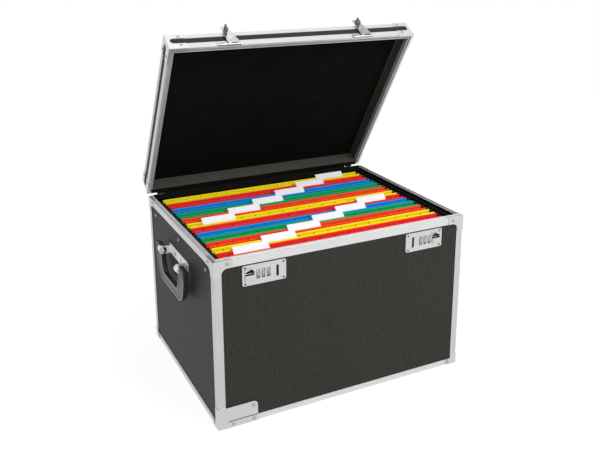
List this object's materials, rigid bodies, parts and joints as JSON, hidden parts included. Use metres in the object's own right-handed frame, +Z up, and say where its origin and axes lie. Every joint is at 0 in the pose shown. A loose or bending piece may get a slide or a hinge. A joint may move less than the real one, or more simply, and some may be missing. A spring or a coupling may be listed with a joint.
{
  "type": "portable file box",
  "caption": "Portable file box with an aluminium-edged lid on a long hinge, two dial locks with hasps, end handles and coloured files hanging on rails inside.",
  "frame": {"origin": "middle of the case's footprint, on the surface that it stands on", "axes": "+X to the right seen from the lock side, +Y from the locks to the hinge, +Z up; stored with the lid 57 degrees open"},
  "size_m": [0.468, 0.3664, 0.5719],
  "materials": {
    "board": "fibreboard covered with black textured vinyl",
    "profile": "satin anodised",
    "cap": "bright plated, fine brushed",
    "rivet": "bright plated",
    "bracket": "polished plate",
    "lock_plate": "satin",
    "lock_works": "plain",
    "dial": "satin grey with raised figures",
    "hasp": "bright plated",
    "handle": "satin dark grey",
    "rail": "black paint",
    "card_yellow": "matt coloured card",
    "card_red": "matt coloured card",
    "card_blue": "matt coloured card",
    "card_green": "matt coloured card",
    "card_orange_red": "matt coloured card"
  },
  "bodies": {
    "case": {"bottom_panel": "board", "front_panel": "board", "back_panel": "board", "left_panel": "board", "right_panel": "board", "bottom_profiles": "profile", "corner_profiles": "profile", "case_rim_profiles": "profile", "top_corner_caps": "cap", "bottom_corner_caps": "cap", "front_corner_plate": "cap", "case_rivets": "rivet", "left_file_rail": "rail", "right_file_rail": "rail", "left_lock_case": "lock_plate", "right_lock_case": "lock_plate", "left_lock_spindle": "lock_works", "right_lock_spindle": "lock_works", "lock_screws": "rivet", "left_handle_bracket": "bracket", "right_handle_bracket": "bracket", "handle_pins": "rivet", "hinge_case_leaf": "bracket", "hinge_pin": "rivet"},
    "lid": {"lid_panel": "board", "lid_front_wall": "board", "lid_back_wall": "board", "lid_left_wall": "board", "lid_right_wall": "board", "lid_edge_profiles": "profile", "lid_rim_profiles": "profile", "lid_corner_caps": "cap", "lid_rivets": "rivet", "hinge_lid_leaf": "bracket", "hasp_bases": "hasp", "hasp_pins": "rivet"},
    "left_hasp": {"left_hasp": "hasp"},
    "right_hasp": {"right_hasp": "hasp"},
    "left_handle": {"left_handle": "handle"},
    "right_handle": {"right_handle": "handle"},
    "left_dial_1": {"left_dial_1": "dial"},
    "left_dial_2": {"left_dial_2": "dial"},
    "left_dial_3": {"left_dial_3": "dial"},
    "left_lock_slider": {"left_lock_slider": "lock_plate"},
    "right_dial_1": {"right_dial_1": "dial"},
    "right_dial_2": {"right_dial_2": "dial"},
    "right_dial_3": {"right_dial_3": "dial"},
    "right_lock_slider": {"right_lock_slider": "lock_plate"},
    "file_01": {"file_01": "card_yellow"},
    "file_02": {"file_02": "card_red"},
    "file_03": {"file_03": "card_blue"},
    "file_04": {"file_04": "card_green"},
    "file_05": {"file_05": "card_orange_red"},
    "file_06": {"file_06": "card_yellow"},
    "file_07": {"file_07": "card_red"},
    "file_08": {"file_08": "card_blue"},
    "file_09": {"file_09": "card_green"},
    "file_10": {"file_10": "card_orange_red"},
    "file_11": {"file_11": "card_yellow"},
    "file_12": {"file_12": "card_red"}
  },
  "joints": [
    {"name": "lid_hinge", "type": "hinge", "parent": "case", "child": "lid", "pos_m": [0, 0.169, 0.258], "axis": [-1, 0, 0], "range_deg": [-57, 43]},
    {"name": "left_hasp_hinge", "type": "hinge", "parent": "lid", "child": "left_hasp", "pos_m": [-0.117, -0.00529, 0.54402], "axis": [-1, 0, 0], "range_deg": [-180, 0], "stiffness_Nm_per_rad": 0.004},
    {"name": "right_hasp_hinge", "type": "hinge", "parent": "lid", "child": "right_hasp", "pos_m": [0.117, -0.00529, 0.54402], "axis": [-1, 0, 0], "range_deg": [-180, 0], "stiffness_Nm_per_rad": 0.004},
    {"name": "left_handle_pivot", "type": "hinge", "parent": "case", "child": "left_handle", "pos_m": [-0.228, 0, 0.213], "axis": [0, 1, 0], "range_deg": [-8, 95]},
    {"name": "right_handle_pivot", "type": "hinge", "parent": "case", "child": "right_handle", "pos_m": [0.228, 0, 0.213], "axis": [0, -1, 0], "range_deg": [-8, 95]},
    {"name": "left_dial_1_turn", "type": "hinge", "parent": "case", "child": "left_dial_1", "pos_m": [-0.131, -0.1565, 0.237], "axis": [1, 0, 0], "continuous": true},
    {"name": "left_dial_2_turn", "type": "hinge", "parent": "case", "child": "left_dial_2", "pos_m": [-0.1392, -0.1565, 0.237], "axis": [1, 0, 0], "continuous": true},
    {"name": "left_dial_3_turn", "type": "hinge", "parent": "case", "child": "left_dial_3", "pos_m": [-0.1474, -0.1565, 0.237], "axis": [1, 0, 0], "continuous": true},
    {"name": "right_dial_1_turn", "type": "hinge", "parent": "case", "child": "right_dial_1", "pos_m": [0.131, -0.1565, 0.237], "axis": [1, 0, 0], "continuous": true},
    {"name": "right_dial_2_turn", "type": "hinge", "parent": "case", "child": "right_dial_2", "pos_m": [0.1392, -0.1565, 0.237], "axis": [1, 0, 0], "continuous": true},
    {"name": "right_dial_3_turn", "type": "hinge", "parent": "case", "child": "right_dial_3", "pos_m": [0.1474, -0.1565, 0.237], "axis": [1, 0, 0], "continuous": true},
    {"name": "left_slider_travel", "type": "slide", "parent": "case", "child": "left_lock_slider", "axis": [0, 0, 1], "range_m": [0, 0.0055], "stiffness_N_per_m": 60, "springref_m": -0.003},
    {"name": "right_slider_travel", "type": "slide", "parent": "case", "child": "right_lock_slider", "axis": [0, 0, 1], "range_m": [0, 0.0055], "stiffness_N_per_m": 60, "springref_m": -0.003},
    {"name": "file_01_lift", "type": "slide", "parent": "case", "child": "file_01", "axis": [0, 0, 1], "range_m": [0, 0.071]},
    {"name": "file_02_lift", "type": "slide", "parent": "case", "child": "file_02", "axis": [0, 0, 1], "range_m": [0, 0.112]},
    {"name": "file_03_lift", "type": "slide", "parent": "case", "child": "file_03", "axis": [0, 0, 1], "range_m": [0, 0.155]},
    {"name": "file_04_lift", "type": "slide", "parent": "case", "child": "file_04", "axis": [0, 0, 1], "range_m": [0, 0.196]},
    {"name": "file_05_lift", "type": "slide", "parent": "case", "child": "file_05", "axis": [0, 0, 1], "range_m": [0, 0.237]},
    {"name": "file_06_lift", "type": "slide", "parent": "case", "child": "file_06", "axis": [0, 0, 1], "range_m": [0, 0.25]},
    {"name": "file_07_lift", "type": "slide", "parent": "case", "child": "file_07", "axis": [0, 0, 1], "range_m": [0, 0.25]},
    {"name": "file_08_lift", "type": "slide", "parent": "case", "child": "file_08", "axis": [0, 0, 1], "range_m": [0, 0.25]},
    {"name": "file_09_lift", "type": "slide", "parent": "case", "child": "file_09", "axis": [0, 0, 1], "range_m": [0, 0.25]},
    {"name": "file_10_lift", "type": "slide", "parent": "case", "child": "file_10", "axis": [0, 0, 1], "range_m": [0, 0.25]},
    {"name": "file_11_lift", "type": "slide", "parent": "case", "child": "file_11", "axis": [0, 0, 1], "range_m": [0, 0.25]},
    {"name": "file_12_lift", "type": "slide", "parent": "case", "child": "file_12", "axis": [0, 0, 1], "range_m": [0, 0.25]}
  ]
}
